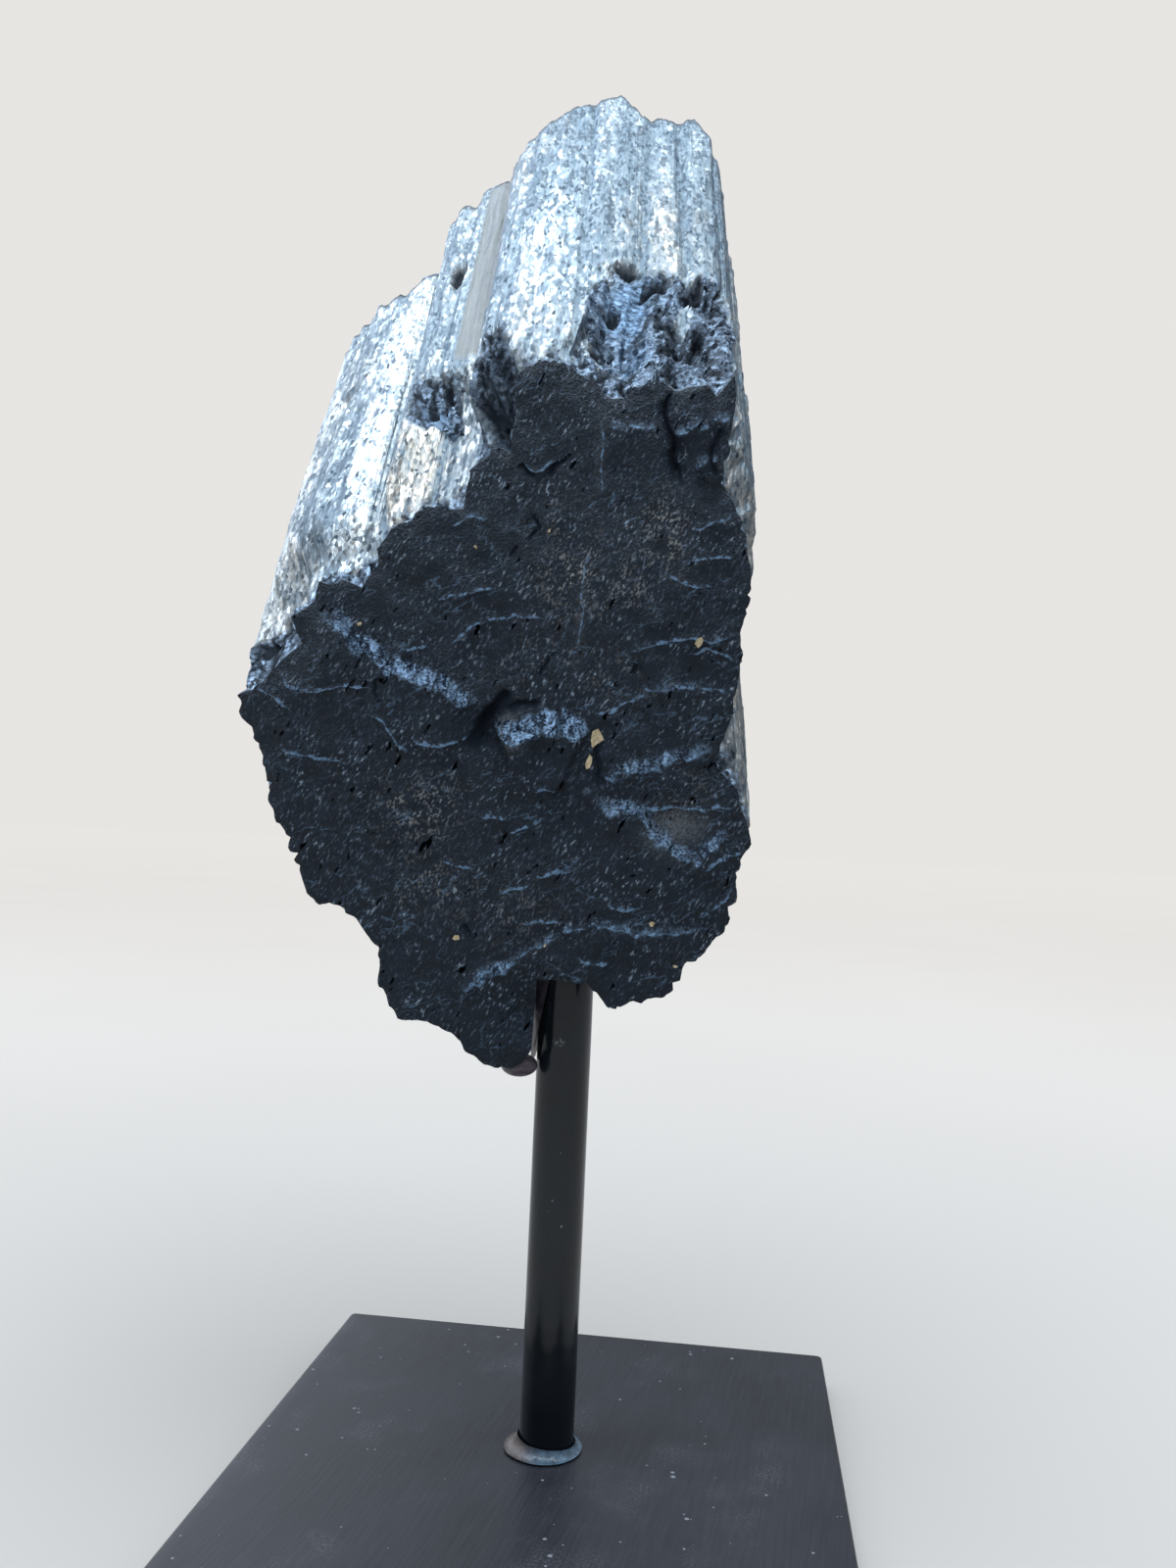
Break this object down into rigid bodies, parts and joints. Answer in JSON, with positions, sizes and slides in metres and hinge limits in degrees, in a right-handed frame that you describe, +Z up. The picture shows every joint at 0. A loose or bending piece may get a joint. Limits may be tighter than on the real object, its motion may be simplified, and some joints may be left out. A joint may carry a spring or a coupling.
{
  "type": "tourmaline specimen",
  "caption": "Black tourmaline specimen with striated columns and a broken front face, held upright on a round post over a square plate.",
  "frame": {"origin": "centre of the square plate's underside, where it rests", "axes": "+Z up along the post, -Y towards the viewer of the black broken face, +X to that viewer's right"},
  "size_m": [0.1179, 0.1239, 0.2913],
  "materials": {
    "tourmaline": "black broken face, silvery striated columns",
    "post": "semi-gloss black",
    "base_plate": "satin charcoal",
    "foot_fillet": "gloss black",
    "adhesive": "clear, slightly milky"
  },
  "bodies": {
    "root": {"tourmaline": "tourmaline", "post": "post", "base_plate": "base_plate", "foot_fillet": "foot_fillet", "adhesive": "adhesive"}
  },
  "joints": []
}
